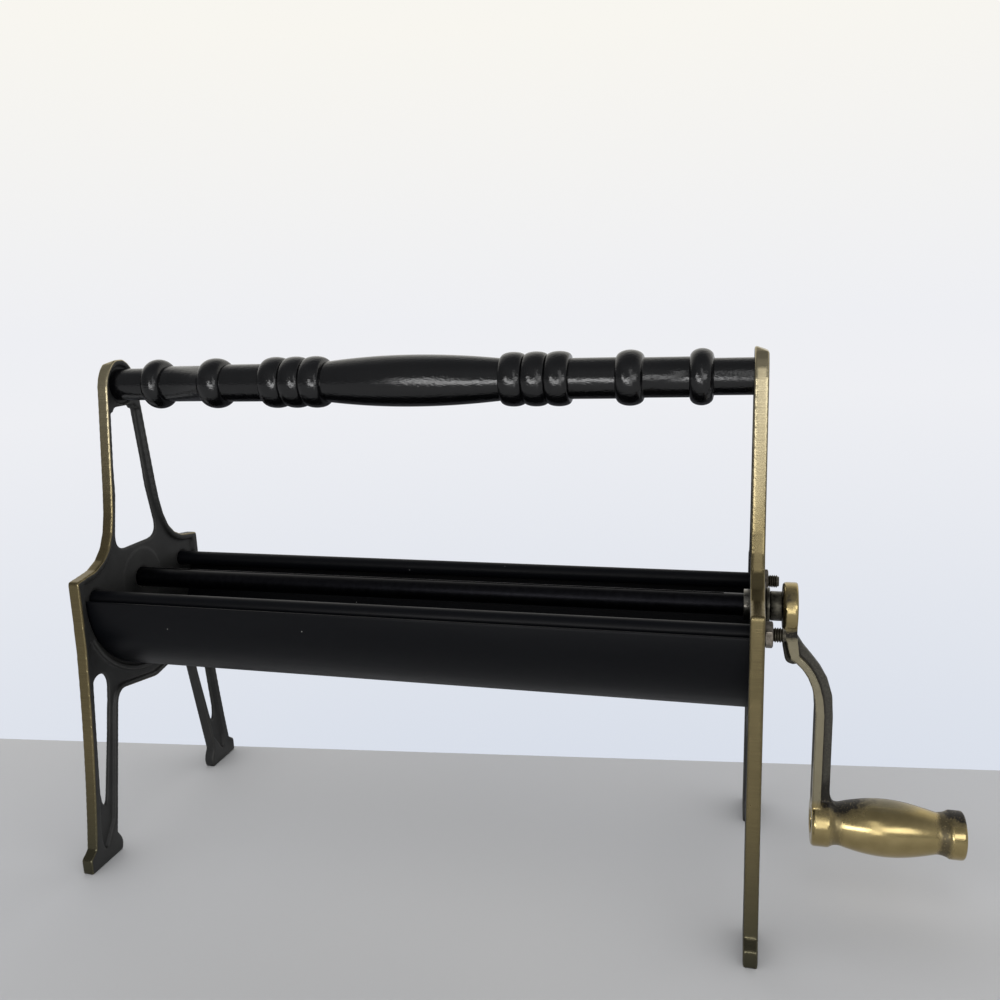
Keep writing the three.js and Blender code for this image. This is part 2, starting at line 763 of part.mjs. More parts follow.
for (const [label, side] of [["front", -1], ["rear", 1]]) {
  const line = new THREE.Group();
  line.position.set(0, side * rodOffset, axisHeight);
  roller.add(line);
  place(`tie_rod_${label}`, tieRod(), blackPaint, line);
  place(`rod_nut_${label}_right`, rodNut(), boltSteel, line);
  place(`rod_nut_${label}_left`, rodNut(), boltSteel, line).rotation.z = Math.PI;
}

place("trough", trough(), blackPaint);
place("carry_handle", carryHandle(), blackLacquer);
place("crank", crank(), rubbedBrass);

const onAxis = new THREE.Group();
onAxis.position.z = axisHeight;
roller.add(onAxis);
place("winding_spindle", windingSpindle(), darkSteel, onAxis);
place("spindle_bush", spindleBush(), greySteel, onAxis);
place(
  "bush_ring",
  collarRing(ringStart, ringStart + ringWidth, bushRadius + fit, ringRadius, 0.4),
  greySteel,
  onAxis,
);
place(
  "drive_sleeve",
  collarRing(sleeveStart, sleeveStart + sleeveLength, spindleRadius + fit, sleeveRadius, 0.4),
  darkSteel,
  onAxis,
);
place("crank_screw", crankScrew(), boltSteel, onAxis);

// The finished roller stands with the middle of its overall length at X = 0.
roller.position.x = (threadEnd - gripEnd) / 2;
const part = new THREE.Group();
part.add(roller);

export default part;
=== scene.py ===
# %% [markdown]
# # A hand-cranked paper log roller
# The machine winds damp newspaper into a log: two cast brass end frames hold a half-round
# trough, a slotted spindle turned by a crank grips the paper, two tie rods clamp the frames
# together and a turned wooden handle carries the lot. This lesson gives each piece its finished
# shape and surface.

# %% Load the fixed frame
import json
from math import cos, pi, radians, sin

import bmesh
import bpy
from mathutils import Matrix, Vector
from mathutils.bvhtree import BVHTree


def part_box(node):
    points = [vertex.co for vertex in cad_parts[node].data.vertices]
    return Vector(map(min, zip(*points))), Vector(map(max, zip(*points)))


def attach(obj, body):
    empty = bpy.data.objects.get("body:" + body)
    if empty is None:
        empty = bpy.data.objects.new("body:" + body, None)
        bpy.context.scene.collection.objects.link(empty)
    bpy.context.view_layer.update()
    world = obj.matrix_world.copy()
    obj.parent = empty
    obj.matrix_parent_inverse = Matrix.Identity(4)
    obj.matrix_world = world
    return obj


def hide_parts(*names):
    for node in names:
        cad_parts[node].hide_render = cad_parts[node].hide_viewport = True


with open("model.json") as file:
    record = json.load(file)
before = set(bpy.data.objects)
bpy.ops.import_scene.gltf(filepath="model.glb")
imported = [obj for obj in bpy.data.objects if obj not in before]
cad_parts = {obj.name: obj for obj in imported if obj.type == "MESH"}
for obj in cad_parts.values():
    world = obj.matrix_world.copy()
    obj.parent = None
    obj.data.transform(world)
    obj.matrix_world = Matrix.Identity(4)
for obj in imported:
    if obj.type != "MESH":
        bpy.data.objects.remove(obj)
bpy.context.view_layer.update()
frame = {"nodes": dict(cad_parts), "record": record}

# %% [markdown]
# ## Tools used by every piece
# Sizes are written in millimetres, as on a drawing, and Blender works in metres, so `MM`
# turns one into the other. Colours are written as the hex values a paint chart gives. Those
# are sRGB values, and a shader wants linear ones, so one function converts them.

# %% Millimetres and colours
MM = 0.001


def colour(text):
    """A hex sRGB colour as the linear RGBA a shader wants."""
    channels = [int(text[i:i + 2], 16) / 255 for i in (1, 3, 5)]
    return (*[c / 12.92 if c <= 0.04045 else ((c + 0.055) / 1.055) ** 2.4 for c in channels], 1)


print("mid grey in linear light:", colour("#808080"))

# %% [markdown]
# Materials here are networks of nodes. One small function adds any node: its own properties
# are keyword arguments, and its sockets take either a plain value or the output of an earlier
# node, which is linked.

# %% Add a node
def add(tree, kind, sockets=None, **properties):
    """Add one node, set its properties, and fill or link its input sockets."""
    node = tree.nodes.new(kind)
    for name, value in properties.items():
        setattr(node, name, value)
    for name, value in (sockets or {}).items():
        socket = node.inputs[name]
        if isinstance(value, bpy.types.NodeSocket):
            tree.links.new(value, socket)
        else:
            socket.default_value = value
    return node


def new_material(name, **values):
    """A material with one Principled shader, whose uniform values sit on its own sockets."""
    material = bpy.data.materials.new(name)
    material.use_nodes = True
    shader = material.node_tree.nodes["Principled BSDF"]
    for socket, value in values.items():
        shader.inputs[socket.replace("_", " ")].default_value = value
    return material, material.node_tree, shader


print("node and material helpers ready")

# %% [markdown]
# ## Finishing a piece
# Each finished piece stands for one CAD node: it rides on the same body and hides the plain
# CAD solid. Faces that meet at a shallow angle, under thirty degrees unless a piece asks for
# another, are shaded as one smooth surface, and sharper edges stay crisp.

# %% Turn a bmesh into a finished piece
BODY_OF = {node: body for body, nodes in frame["record"]["behaviour"]["bodies"].items()
           for node in nodes}


def finish_mesh(piece, node, material, crisp=30):
    """Shade, colour and seat a piece that stands for a CAD node. Edges of more than `crisp`
    degrees stay sharp."""
    mesh = piece.data
    mesh.polygons.foreach_set("use_smooth", [True] * len(mesh.polygons))
    mesh.set_sharp_from_angle(angle=radians(crisp))
    mesh.materials.clear()
    mesh.materials.append(material)
    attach(piece, BODY_OF[node])
    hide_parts(node)
    print(piece.name, len(mesh.polygons), "faces")
    return piece


def object_from(name, bm):
    """Move a bmesh into a new mesh object at the origin."""
    mesh = bpy.data.meshes.new(name)
    bm.to_mesh(mesh)
    bm.free()
    piece = bpy.data.objects.new(name, mesh)
    bpy.context.scene.collection.objects.link(piece)
    return piece


def applied(piece):
    """Replace a piece's mesh by what its modifiers make of it."""
    evaluated = piece.evaluated_get(bpy.context.evaluated_depsgraph_get())
    finished = bpy.data.meshes.new_from_object(evaluated)
    piece.modifiers.clear()
    piece.data = finished
    return piece


# %% [markdown]
# ## Turned shapes
# Handle, rods, bush and spindle all came off a lathe. Blender's spin operator does the same:
# a profile of a few points is swept once round a line along X. Rounding the profile's corners
# first gives every edge the small radius that catches the light.

# %% A lathe
def lathe(profile, centre, steps=96, rounding=0.0, ring=False):
    """Turn a profile of (x, radius) in metres about the line along X through centre."""
    bm = bmesh.new()
    on_axis = Vector((0, centre.y, centre.z))
    line = [bm.verts.new((x, centre.y, centre.z + radius)) for x, radius in profile]
    for first, second in zip(line, line[1:]):
        bm.edges.new((first, second))
    if ring:
        bm.edges.new((line[-1], line[0]))
    if rounding:
        corners = line if ring else line[1:-1]
        bmesh.ops.bevel(bm, geom=corners, offset=rounding, segments=3, affect="VERTICES",
                        profile=0.5, material=-1)
    bmesh.ops.spin(bm, geom=bm.verts[:] + bm.edges[:], cent=on_axis, axis=(1, 0, 0),
                   angle=2 * pi, steps=steps, use_merge=True)
    bmesh.ops.remove_doubles(bm, verts=bm.verts, dist=1e-7)
    bmesh.ops.dissolve_degenerate(bm, edges=bm.edges, dist=1e-7)
    bmesh.ops.recalc_face_normals(bm, faces=bm.faces)
    return bm


def measured(node):
    """A CAD node's lowest and highest corners, its centre, and half its size along Y, which
    is the radius of a round one."""
    low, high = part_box(node)
    return low, high, (low + high) / 2, (high.y - low.y) / 2


def carve(piece, cutter):
    """Cut one closed shape out of another, then drop the cutter."""
    tool = object_from("cutter", cutter)
    cut = piece.modifiers.new("cut", "BOOLEAN")
    cut.object = tool
    cut.operation = "DIFFERENCE"
    cut.solver = "EXACT"
    applied(piece)
    bpy.data.objects.remove(tool)
    return piece


print("handle's axis runs through", measured("carry_handle")[2])

# %% [markdown]
# ## Sand-cast brass: the end frames
# The frames are sand castings in brass. After casting, a grinding belt ran round the outside
# edge, which now shines in a satin olive gold with fine marks across it. The faces, and the
# sides of the windows that the belt can't reach, keep the blackened skin of the casting.
# Cycles' Pointiness finds the corners, which are lighter with wear and a painted highlight, and
# the hollows, which are darker as painted shade. Where
# the belt ran is stored on the mesh as an attribute called `ground`, which the material reads.

# %% Frame material
def frame_material():
    material, tree, shader = new_material("sand_cast_brass_with_belt_ground_edge")
    place = add(tree, "ShaderNodeTexCoord").outputs["Object"]
    height_up = add(tree, "ShaderNodeSeparateXYZ", {0: place}).outputs["Z"]
    ground = add(tree, "ShaderNodeAttribute", attribute_name="ground").outputs["Fac"]
    point = add(tree, "ShaderNodeNewGeometry").outputs["Pointiness"]
    # Mottled patches about 12 mm across, and the sand's grain at about 1 mm.
    patches = add(tree, "ShaderNodeTexNoise", {"Vector": place, "Scale": 85.0, "Detail": 5.0,
                                               "Roughness": 0.6}).outputs["Fac"]
    grain = add(tree, "ShaderNodeTexNoise", {"Vector": place, "Scale": 1000.0,
                                             "Detail": 3.0}).outputs["Fac"]
    # Belt marks run across the edge, along X. They are about 17 mm long and 0.7 mm apart.
    across = add(tree, "ShaderNodeMapping", {"Vector": place, "Scale": (60.0, 1500.0, 1500.0)})
    marks = add(tree, "ShaderNodeTexNoise", {"Vector": across.outputs[0], "Scale": 1.0,
                                             "Detail": 2.0}).outputs["Fac"]
    uneven = add(tree, "ShaderNodeMath", {0: patches, 1: 0.5, 2: ground},
                 operation="MULTIPLY_ADD").outputs[0]
    belt = add(tree, "ShaderNodeMapRange", {"Value": uneven, "From Min": 0.48,
                                            "From Max": 0.70}).outputs[0]
    # Corners, found by Pointiness, are lighter: wear, and a painted highlight along the edges.
    worn_and_highlit_edges = add(tree, "ShaderNodeMapRange", {"Value": point, "From Min": 0.52, "From Max": 0.64,
                                              "To Max": 0.36}).outputs[0]
    # Hollows, found by Pointiness, are darker: painted shade.
    hollow_shade = add(tree, "ShaderNodeMapRange", {"Value": point, "From Min": 0.495,
                                              "From Max": 0.44}).outputs[0]
    # The brass is lighter near the handle, 300 mm up, and darker and browner lower down:
    # partly tarnish, partly a painted highlight for the brighter reflections up there.
    tarnish_and_sheen_by_height = add(tree, "ShaderNodeMapRange", {"Value": height_up, "From Min": 0.225,
                                               "From Max": 0.305}).outputs[0]
    light = add(tree, "ShaderNodeMix", {0: tarnish_and_sheen_by_height, 6: colour("#7d7252"), 7: colour("#b9ae90")},
                data_type="RGBA").outputs[2]
    deep = add(tree, "ShaderNodeMix", {0: tarnish_and_sheen_by_height, 6: colour("#665b42"), 7: colour("#9c9174")},
               data_type="RGBA").outputs[2]
    brass = add(tree, "ShaderNodeMix", {0: marks, 6: deep, 7: light},
                data_type="RGBA").outputs[2]
    # Painted shade: the lowest 80 mm, close to the floor, are painted a dull green-brown.
    painted_shade_near_floor = add(tree, "ShaderNodeMapRange", {"Value": height_up, "From Min": 0.08,
                                            "From Max": 0.0}).outputs[0]
    for share, tint in ((painted_shade_near_floor, "#4c4a3c"), (worn_and_highlit_edges, "#c0b797"), (hollow_shade, "#3c372b")):
        brass = add(tree, "ShaderNodeMix", {0: share, 6: brass, 7: colour(tint)},
                    data_type="RGBA").outputs[2]
    dark = add(tree, "ShaderNodeMix", {0: patches, 6: colour("#141413"), 7: colour("#2f2f2e")},
               data_type="RGBA").outputs[2]
    # The blackened skin is lighter on its corners too: wear, and a painted highlight.
    dark = add(tree, "ShaderNodeMix", {0: worn_and_highlit_edges, 6: dark, 7: colour("#8b887c")},
               data_type="RGBA").outputs[2]
    surface = add(tree, "ShaderNodeMix", {0: belt, 6: dark, 7: brass}, data_type="RGBA").outputs[2]
    tree.links.new(surface, shader.inputs["Base Color"])
    metal = add(tree, "ShaderNodeMapRange", {"Value": belt, "To Min": 0.35, "To Max": 1.0})
    tree.links.new(metal.outputs[0], shader.inputs["Metallic"])
    rough = add(tree, "ShaderNodeMapRange", {"Value": belt, "To Min": 0.5, "To Max": 0.22})
    rough = add(tree, "ShaderNodeMath", {0: patches, 1: 0.08, 2: rough.outputs[0]},
                operation="MULTIPLY_ADD").outputs[0]
    # Scratches cross the corners, so a corner gives no thin bright line.
    rough = add(tree, "ShaderNodeMath", {0: worn_and_highlit_edges, 1: 0.7, 2: rough},
                operation="MULTIPLY_ADD").outputs[0]
    tree.links.new(rough, shader.inputs["Roughness"])
    height = add(tree, "ShaderNodeMix", {0: belt, 2: grain, 3: marks}).outputs[0]
    bump = add(tree, "ShaderNodeBump", {"Height": height, "Strength": 0.35,
                                        "Distance": 0.15 * MM})
    tree.links.new(bump.outputs[0], shader.inputs["Normal"])
    return material


frame_brass = frame_material()
print("material", frame_brass.name)

# %% [markdown]
# A casting has no sharp corners: molten metal rounds every edge and fills every inner corner
# with a fillet. Remeshing a copy of the CAD solid into one even skin and relaxing it a few
# times rounds both kinds of corner by about a millimetre, which no bevel tool does as evenly
# where ribs, rims and pads run into each other.

# %% Castings
def cad_copy(node):
    """A bmesh of a CAD node with its loose triangles joined."""
    bm = bmesh.new()
    bm.from_mesh(frame["nodes"][node].data)
    bmesh.ops.remove_doubles(bm, verts=bm.verts, dist=1e-6)
    return bm


def cast(name, bm, grain, passes, keep):
    """Give a shape one even skin of faces `grain` millimetres wide, soften its corners in
    `passes` steps, then keep only that share of its faces, fewest where it is flat."""
    piece = object_from(name, bm)
    skin = piece.modifiers.new("skin", "REMESH")
    skin.mode = "VOXEL"
    skin.voxel_size = grain * MM
    relax = piece.modifiers.new("relax", "SMOOTH")
    relax.factor = 0.5
    relax.iterations = passes
    thin = piece.modifiers.new("thin", "DECIMATE")
    thin.ratio = keep
    return applied(piece)


print("casting helpers ready")

# %% [markdown]
# A belt grinder touches only what sticks out. So a spot on the edge counts as ground when it
# faces away from the frame's middle line and nothing of the casting stands in front of it,
# which a ray from each corner point finds, straight out in the plane of the frame. The flat
# tops of the rear shoulders, beside the arms, are left in the dark skin as painted shade, for
# the dark room above that they reflect. Use then wears the brass a little further round each
# edge, so the marked area spreads by a few steps.

# %% Mark the ground edge
CROWN = 20 * MM
FACING_UP, FACING_OUT = 0.93, 0.3
RAY_START = 0.4 * MM
WEAR_STEPS = 4


def mark_ground(piece):
    """Store how fully the belt ground each corner point of a frame, from 0 to 1."""
    mesh = piece.data
    tree = BVHTree.FromPolygons([v.co for v in mesh.vertices],
                                [p.vertices for p in mesh.polygons])
    ground = mesh.attributes.new("ground", "FLOAT", "POINT")
    values = []
    for vertex in mesh.vertices:
        outward = Vector((0, vertex.normal.y, vertex.normal.z))
        steepness = outward.length
        # Near the middle line, on the crown of the frame, the belt reaches both slopes.
        on_crown = abs(vertex.co.y) < CROWN
        # Flat tops of the rear shoulders are left dark: painted shade.
        flat_rear_painted_dark = vertex.co.y > 0 and outward.z > FACING_UP
        reached = on_crown or (outward.y * vertex.co.y > 0 and not flat_rear_painted_dark)
        free = steepness > FACING_OUT and reached and tree.ray_cast(
            vertex.co + outward * RAY_START / steepness, outward)[0] is None
        values.append(steepness ** 2 if free else 0.0)
    # In each step a spot takes the mean of the spots beside it, where that is more.
    for _ in range(WEAR_STEPS):
        total, count = [0.0] * len(values), [0] * len(values)
        for edge in mesh.edges:
            for one, other in (edge.vertices, reversed(edge.vertices)):
                total[one] += values[other]
                count[one] += 1
        values = [max(value, amount / max(number, 1))
                  for value, amount, number in zip(values, total, count)]
    ground.data.foreach_set("value", values)
    print(piece.name, f"{sum(value > 0 for value in values) / len(values):.0%} is belt-ground")


for side in ("left", "right"):
    node = "end_frame_" + side
    casting = cast("frame_casting_" + side, cad_copy(node), grain=0.62, passes=12, keep=0.62)
    mark_ground(casting)
    finish_mesh(casting, node, frame_brass, crisp=80)

# %% [markdown]
# ## Satin black enamel: trough and tie rods
# The trough is steel sheet rolled to a half circle and sprayed satin black. Sprayed enamel is
# never quite even: it has a fine orange peel about 2 mm wide, wipe marks where a hand has been
# and a few specks of paper dust. The rods have the same paint.

# %% Enamel material
def enamel_material(name):
    material, tree, shader = new_material(name, IOR=1.5, Specular_IOR_Level=0.12)
    where = add(tree, "ShaderNodeTexCoord").outputs["Object"]
    # Wipe marks run along the sheet, about 110 mm long and 17 mm wide.
    wiped = add(tree, "ShaderNodeMapping", {"Vector": where, "Scale": (9.0, 60.0, 60.0)})
    smears = add(tree, "ShaderNodeTexNoise", {"Vector": wiped.outputs[0], "Scale": 1.0,
                                              "Detail": 6.0, "Roughness": 0.65}).outputs["Fac"]
    peel = add(tree, "ShaderNodeTexNoise", {"Vector": where, "Scale": 520.0,
                                            "Detail": 2.0}).outputs["Fac"]
    # Dust: one speck in each 14 mm cell of a random grid, about 0.6 mm wide.
    cells = add(tree, "ShaderNodeTexVoronoi", {"Vector": where, "Scale": 70.0,
                                               "Randomness": 1.0}).outputs["Distance"]
    dust = add(tree, "ShaderNodeMapRange", {"Value": cells, "From Min": 0.03,
                                            "From Max": 0.018}).outputs[0]
    black = add(tree, "ShaderNodeMix", {0: smears, 6: colour("#040508"), 7: colour("#090a0e")},
                data_type="RGBA").outputs[2]
    dusty = add(tree, "ShaderNodeMath", {0: dust, 1: 0.5}, operation="MULTIPLY").outputs[0]
    black = add(tree, "ShaderNodeMix", {0: dusty, 6: black, 7: colour("#c9c9c4")},
                data_type="RGBA").outputs[2]
    tree.links.new(black, shader.inputs["Base Color"])
    rough = add(tree, "ShaderNodeMapRange", {"Value": smears, "From Min": 0.3, "From Max": 0.7,
                                             "To Min": 0.38, "To Max": 0.5}).outputs[0]
    tree.links.new(rough, shader.inputs["Roughness"])
    bump = add(tree, "ShaderNodeBump", {"Height": peel, "Strength": 0.12, "Distance": 0.1 * MM})
    tree.links.new(bump.outputs[0], shader.inputs["Normal"])
    return material, tree, shader, black


enamel = enamel_material("sprayed_satin_black_enamel")[0]
print("material", enamel.name)

# %% [markdown]
# The sheet starts as one thin rectangle lying level with the rim. Spinning it half round the
# trough's centre line sweeps out the whole half pipe, wall thickness and all. The two long
# rims are then bevelled, because cut sheet is dressed before it is painted.

# %% The trough
def trough_mesh():
    low, high, middle, radius = measured("trough")
    sheet = 1.6 * MM
    centre = Vector((0, middle.y, high.z))
    bm = bmesh.new()
    bmesh.ops.create_grid(bm, x_segments=1, y_segments=1, size=0.5)
    bmesh.ops.scale(bm, vec=(high.x - low.x, sheet, 1), verts=bm.verts)
    bmesh.ops.translate(bm, vec=(middle.x, centre.y - radius + sheet / 2, centre.z),
                        verts=bm.verts)
    bmesh.ops.spin(bm, geom=bm.verts[:] + bm.edges[:] + bm.faces[:], cent=centre,
                   axis=(1, 0, 0), angle=pi, steps=120)
    bmesh.ops.remove_doubles(bm, verts=bm.verts, dist=1e-7)
    bmesh.ops.recalc_face_normals(bm, faces=bm.faces)
    rims = [edge for edge in bm.edges
            if all(abs(v.co.z - centre.z) < 1e-6 for v in edge.verts)
            and abs(edge.verts[0].co.x - edge.verts[1].co.x) > sheet]
    bmesh.ops.bevel(bm, geom=rims, offset=0.5 * MM, segments=3, affect="EDGES", profile=0.5,
                    material=-1)
    return bm


finish_mesh(object_from("rolled_trough", trough_mesh()), "trough", enamel)

# %% [markdown]
# Each tie rod has a shoulder that the frame is clamped against and an M8 thread, whose pitch
# is 1.25 mm. Real threads climb in a helix, but at this size rings a pitch apart look the
# same and keep the shape a plain lathe profile.

# %% Rods with threaded ends
PITCH = 1.25 * MM
THREAD_DEPTH = 0.8 * MM
ROD_SHOULDER = 14.7 * MM


def threads(start, end, crest):
    """Profile points of V-shaped rings from start to end, starting and ending in a root."""
    points = []
    x = start
    while x + PITCH <= end:
        points += [(x, crest - THREAD_DEPTH), (x + 0.45 * PITCH, crest),
                   (x + 0.6 * PITCH, crest)]
        x += PITCH
    return points + [(x, crest - THREAD_DEPTH)]


def rod_mesh(node):
    """A round bar with a thread and a small chamfer at each end."""
    _, high, centre, radius = measured(node)
    crest, chamfer = 3.95 * MM, 0.8 * MM
    end = high.x - centre.x
    half = [(high.x - ROD_SHOULDER - centre.x, radius)]
    half += threads(half[0][0], end - chamfer, crest)
    half += [(end, crest - 1.0 * MM), (end, 0)]
    profile = [(centre.x - x, r) for x, r in reversed(half)] + [(centre.x + x, r) for x, r in half]
    return lathe(profile, centre, steps=48)


def rod_material():
    """The same enamel, with the threads left as bare oily steel from just past the shoulder."""
    material, tree, shader, black = enamel_material("satin_black_enamel_with_bare_threads")
    low, high, centre, _ = measured("tie_rod_front")
    painted = (high.x - low.x) / 2 - ROD_SHOULDER + 0.1 * MM
    where = add(tree, "ShaderNodeTexCoord").outputs["Object"]
    along = add(tree, "ShaderNodeSeparateXYZ", {0: where}).outputs["X"]
    from_middle = add(tree, "ShaderNodeMath", {0: along, 1: centre.x},
                      operation="SUBTRACT").outputs[0]
    from_middle = add(tree, "ShaderNodeMath", {0: from_middle}, operation="ABSOLUTE").outputs[0]
    bare = add(tree, "ShaderNodeMath", {0: from_middle, 1: painted},
               operation="GREATER_THAN").outputs[0]
    oily = add(tree, "ShaderNodeMix", {0: bare, 6: black, 7: colour("#5a564c")},
               data_type="RGBA").outputs[2]
    tree.links.new(oily, shader.inputs["Base Color"])
    tree.links.new(bare, shader.inputs["Metallic"])
    return material


rod_paint = rod_material()
for side in ("front", "rear"):
    node = "tie_rod_" + side
    finish_mesh(object_from("threaded_rod_" + side, rod_mesh(node)), node, rod_paint, crisp=25)

# %% [markdown]
# ## Dull steel: nuts, screws and sleeve
# A thin hexagon nut is a turned disc with a chamfer on each face and six flats milled off it,
# which is where its curved corner lines come from. So it is made that way: a chamfered disc
# from the lathe, cut by six planes with the bisect operator and closed again.

# %% Steel materials
def steel_material(name, light, dark, roughness, ring_scale):
    """Turned or rolled metal: faint tool rings round X, so many to a metre, and stains."""
    material, tree, shader = new_material(name, Metallic=1.0)
    where = add(tree, "ShaderNodeTexCoord").outputs["Object"]
    # Stains about 4 mm across, and rings that fade in and out every 11 mm or so.
    stains = add(tree, "ShaderNodeTexNoise", {"Vector": where, "Scale": 260.0, "Detail": 5.0,
                                              "Roughness": 0.65}).outputs["Fac"]
    rings = add(tree, "ShaderNodeMapping", {"Vector": where, "Scale": (ring_scale, 90.0, 90.0)})
    tool = add(tree, "ShaderNodeTexNoise", {"Vector": rings.outputs[0], "Scale": 1.0,
                                            "Detail": 2.0}).outputs["Fac"]
    stained = add(tree, "ShaderNodeMapRange", {"Value": stains, "From Min": 0.35,
                                               "From Max": 0.65}).outputs[0]
    tint = add(tree, "ShaderNodeMix", {0: stained, 6: colour(dark), 7: colour(light)},
               data_type="RGBA").outputs[2]
    tree.links.new(tint, shader.inputs["Base Color"])
    rough = add(tree, "ShaderNodeMath", {0: stains, 1: 0.2, 2: roughness - 0.1},
                operation="MULTIPLY_ADD").outputs[0]
    tree.links.new(rough, shader.inputs["Roughness"])
    bump = add(tree, "ShaderNodeBump", {"Height": tool, "Strength": 0.25, "Distance": 0.05 * MM})
    tree.links.new(bump.outputs[0], shader.inputs["Normal"])
    return material


# Tool rings are 0.3 to 0.4 mm apart.
nut_steel = steel_material("dull_zinc_plated_steel", "#968f84", "#625b52", 0.36, 2400.0)
bush_steel = steel_material("turned_bright_steel", "#8f8c84", "#5f5c55", 0.3, 3200.0)
sleeve_steel = steel_material("oiled_turned_steel", "#5c594f", "#302e2a", 0.3, 3200.0)
print("materials", nut_steel.name, bush_steel.name, sleeve_steel.name)

# %% Hexagon nuts
def nut_mesh(node):
    low, high, centre, flat = measured(node)
    corner = (high.z - low.z) / 2
    slope = 0.6 * (corner - flat)
    face = flat - 0.3 * MM
    bore, countersink = 4.25 * MM, 0.45 * MM
    profile = [(low.x, bore + countersink), (low.x, face), (low.x + slope, corner),
               (high.x - slope, corner), (high.x, face), (high.x, bore + countersink),
               (high.x - countersink, bore), (low.x + countersink, bore)]
    bm = lathe(profile, centre, ring=True)
    for side in range(6):
        angle = side * pi / 3
        outward = Vector((0, cos(angle), sin(angle)))
        cut = bmesh.ops.bisect_plane(bm, geom=bm.verts[:] + bm.edges[:] + bm.faces[:],
                                     plane_co=centre + outward * flat, plane_no=outward,
                                     clear_outer=True)
        edges = [item for item in cut["geom_cut"] if isinstance(item, bmesh.types.BMEdge)]
        bmesh.ops.contextual_create(bm, geom=edges)
    bmesh.ops.recalc_face_normals(bm, faces=bm.faces)
    return bm


for line in ("front", "rear"):
    for side in ("left", "right"):
        node = f"rod_nut_{line}_{side}"
        finish_mesh(object_from(f"hexagon_nut_{line}_{side}", nut_mesh(node)), node, nut_steel)

# %% [markdown]
# ## Gloss black lacquer: the carrying handle
# The handle is a wooden turning in the old balustrade pattern: a long swell in the middle, a
# triple bead each side of it and two single beads towards each end, all sprayed with gloss
# black lacquer. Lacquer over wood is smooth but slightly wavy, and the grain telegraphs
# through it as faint lines along the handle.

# %% Lacquer material
def lacquer_material():
    material, tree, shader = new_material("gloss_black_lacquer_on_wood", IOR=1.5)
    where = add(tree, "ShaderNodeTexCoord").outputs["Object"]
    # Wood grain under the lacquer runs along the handle; its pores are about 1 mm apart and
    # 2 mm long.
    along = add(tree, "ShaderNodeMapping", {"Vector": where, "Scale": (480.0, 1000.0, 1000.0)})
    grain = add(tree, "ShaderNodeTexNoise", {"Vector": along.outputs[0], "Scale": 1.0,
                                             "Detail": 3.0}).outputs["Fac"]
    # The coat sags in waves about 8 mm long, and its scuffs are about 22 mm wide.
    sag = add(tree, "ShaderNodeTexNoise", {"Vector": where, "Scale": 120.0,
                                           "Detail": 2.0}).outputs["Fac"]
    scuff = add(tree, "ShaderNodeTexNoise", {"Vector": where, "Scale": 45.0, "Detail": 7.0,
                                             "Roughness": 0.7}).outputs["Fac"]
    black = add(tree, "ShaderNodeMix", {0: scuff, 6: colour("#050506"), 7: colour("#0c0c0d")},
                data_type="RGBA").outputs[2]
    tree.links.new(black, shader.inputs["Base Color"])
    rough = add(tree, "ShaderNodeMapRange", {"Value": scuff, "From Min": 0.35, "From Max": 0.7,
                                             "To Min": 0.07, "To Max": 0.14}).outputs[0]
    tree.links.new(rough, shader.inputs["Roughness"])
    waves = add(tree, "ShaderNodeMath", {0: grain, 1: 1.2, 2: sag},
                operation="MULTIPLY_ADD").outputs[0]
    bump = add(tree, "ShaderNodeBump", {"Height": waves, "Strength": 0.8, "Distance": 0.16 * MM})
    tree.links.new(bump.outputs[0], shader.inputs["Normal"])
    return material


lacquer = lacquer_material()
print("material", lacquer.name)

# %% [markdown]
# A wood turner marks out the beads along the blank and cuts each to a template, and the
# profile is built the same way, in millimetres. Hand turning left the two halves slightly
# unlike, so each has its own places for the end of the swell and the two single beads.

# %% The turned handle
END_RADIUS = 10.3
BORE_RADIUS, BORE_DEPTH = 5.0, 16.3


def bead(middle, width, top, foot, points=17):
    """A rounded swelling on a turning, in millimetres, from one foot to the other."""
    shares = [i / (points - 1) for i in range(points)]
    return [(middle - width / 2 * cos(pi * share), foot + (top - foot) * sin(pi * share))
            for share in shares]


def handle_half(swell_end, inner, outer):
    """Half of the handle's profile, from its middle to one end, from where the swell ends
    and where the inner and outer single beads have their middles."""
    swell_top, swell_foot = 15.57, 12.35
    swell = [(swell_end * i / 24, swell_top - (swell_top - swell_foot) * (i / 24) ** 2)
             for i in range(24)]
    lobe = 13.5
    triple = [point for place in (0.5, 1.5, 2.5)
              for point in bead(swell_end + place * lobe, lobe, 15.9, 13.5)]
    return [*swell, (swell_end - 0.4, swell_foot), *triple,
            (swell_end + 3 * lobe + 0.4, 11.75),
            *bead(inner, 15.4, 15.85, 11.75), (inner + 8.1, 11.35),
            *bead(outer, 13.0, 15.85, 11.35), (outer + 6.9, END_RADIUS)]


def handle_mesh():
    low, high, centre, _ = measured("carry_handle")
    reach = (high.x - low.x) / 2
    blind_end = reach - BORE_DEPTH * MM
    left, right = ([(x * MM, r * MM) for x, r in half]
                   + [(reach, END_RADIUS * MM), (reach, BORE_RADIUS * MM),
                      (blind_end, BORE_RADIUS * MM), (blind_end, 0)]
                   for half in (handle_half(54.1, 130, 171.5), handle_half(57.9, 132.5, 172.1)))
    profile = [(centre.x - x, r) for x, r in reversed(left[1:])]
    profile += [(centre.x + x, r) for x, r in right]
    return lathe(profile, centre, steps=128)


finish_mesh(object_from("turned_handle", handle_mesh()), "carry_handle", lacquer, crisp=50)

# %% [markdown]
# Threaded brass inserts sit in the ends of the handle, and countersunk screws through the
# frames pull up into them. The screws are made on the lathe, and their hexagon sockets are cut
# with a six-sided prism.

